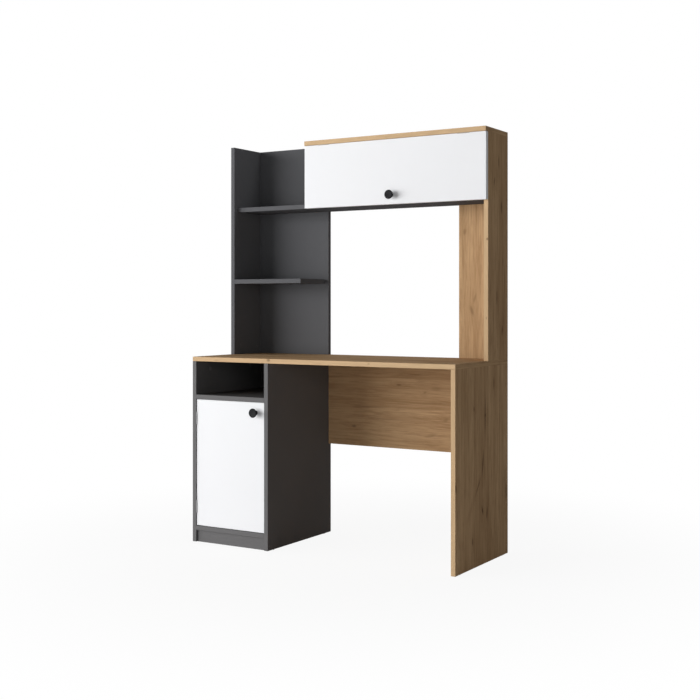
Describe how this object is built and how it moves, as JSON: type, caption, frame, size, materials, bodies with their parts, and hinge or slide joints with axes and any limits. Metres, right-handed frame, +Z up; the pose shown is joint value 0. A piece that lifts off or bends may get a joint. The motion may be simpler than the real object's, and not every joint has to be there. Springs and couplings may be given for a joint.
{
  "type": "student_desk_with_hutch",
  "caption": "Student desk with a side pedestal, a modesty panel and a hutch of open shelves beside a cabinet whose flap lifts up; the pedestal has a hinged door",
  "frame": {"origin": "on the floor, in the middle of the footprint", "axes": "+Z up, -Y is the front where the sitter is, +X to the sitter's right"},
  "size_m": [1.18, 0.481, 1.626],
  "materials": {
    "oak": "oak-grain laminate, satin",
    "anthracite": "anthracite laminate, satin",
    "white_board": "white laminate, satin",
    "hardboard": "thin anthracite hardboard",
    "knob_black": "black, satin",
    "steel": "nickel-plated steel",
    "zinc": "cast zinc, dull",
    "beech": "plain beech",
    "grey_plastic": "grey, matte"
  },
  "bodies": {
    "desk": {"cabinet_back": "hardboard", "cabinet_left_side": "anthracite", "cabinet_top": "oak", "cam_bolts": "steel", "cam_locks": "zinc", "desktop": "oak", "door_hinge_frame_leaves": "steel", "dowels": "beech", "flap_hinge_frame_leaves": "steel", "floor_glides": "grey_plastic", "hinge_frame_screws": "steel", "hinge_pins": "steel", "hutch_left_side": "anthracite", "hutch_long_shelf": "anthracite", "hutch_lower_back": "anthracite", "hutch_right_rail": "oak", "hutch_right_side": "oak", "hutch_short_shelf": "anthracite", "hutch_upper_back": "anthracite", "modesty_panel": "oak", "pedestal_back": "hardboard", "pedestal_bottom": "anthracite", "pedestal_inner_shelf": "anthracite", "pedestal_left_side": "anthracite", "pedestal_plinth": "anthracite", "pedestal_right_side": "anthracite", "pedestal_shelf": "anthracite", "right_leg": "oak", "shelf_pins": "steel", "stay_housings": "grey_plastic", "stay_pivot_pins": "steel", "stay_screws": "steel"},
    "door": {"pedestal_door": "white_board", "door_knob": "knob_black", "door_knob_screw": "steel", "door_hinge_leaves": "steel", "door_hinge_screws": "steel"},
    "flap": {"flap_door": "white_board", "flap_knob": "knob_black", "flap_knob_screw": "steel", "flap_hinge_leaves": "steel", "flap_hinge_screws": "steel", "stay_brackets": "steel", "stay_bracket_pins": "steel", "stay_bracket_screws": "steel"},
    "levers": {"stay_levers": "steel", "stay_elbow_pins": "steel"},
    "links": {"stay_links": "steel"}
  },
  "joints": [
    {"name": "door_hinge", "type": "hinge", "parent": "desk", "child": "door", "pos_m": [-0.5703, -0.2182, 0.3235], "axis": [0, 0, -1], "range_deg": [0, 110]},
    {"name": "flap_hinge", "type": "hinge", "parent": "desk", "child": "flap", "pos_m": [0.186, 0.0378, 1.6063], "axis": [-1, 0, 0], "range_deg": [0, 90]},
    {"name": "lever_pivot", "type": "hinge", "parent": "desk", "child": "levers", "pos_m": [0.186, 0.0998, 1.5803], "axis": [-1, 0, 0], "range_deg": [0, 90]},
    {"name": "link_elbow", "type": "hinge", "parent": "levers", "child": "links", "pos_m": [0.186, 0.1358, 1.5053], "axis": [1, 0, 0], "range_deg": [0, 90]}
  ],
  "couplings": [
    {"joint": "lever_pivot", "follows": "flap_hinge", "ratio": 1},
    {"joint": "link_elbow", "follows": "flap_hinge", "ratio": 1}
  ]
}
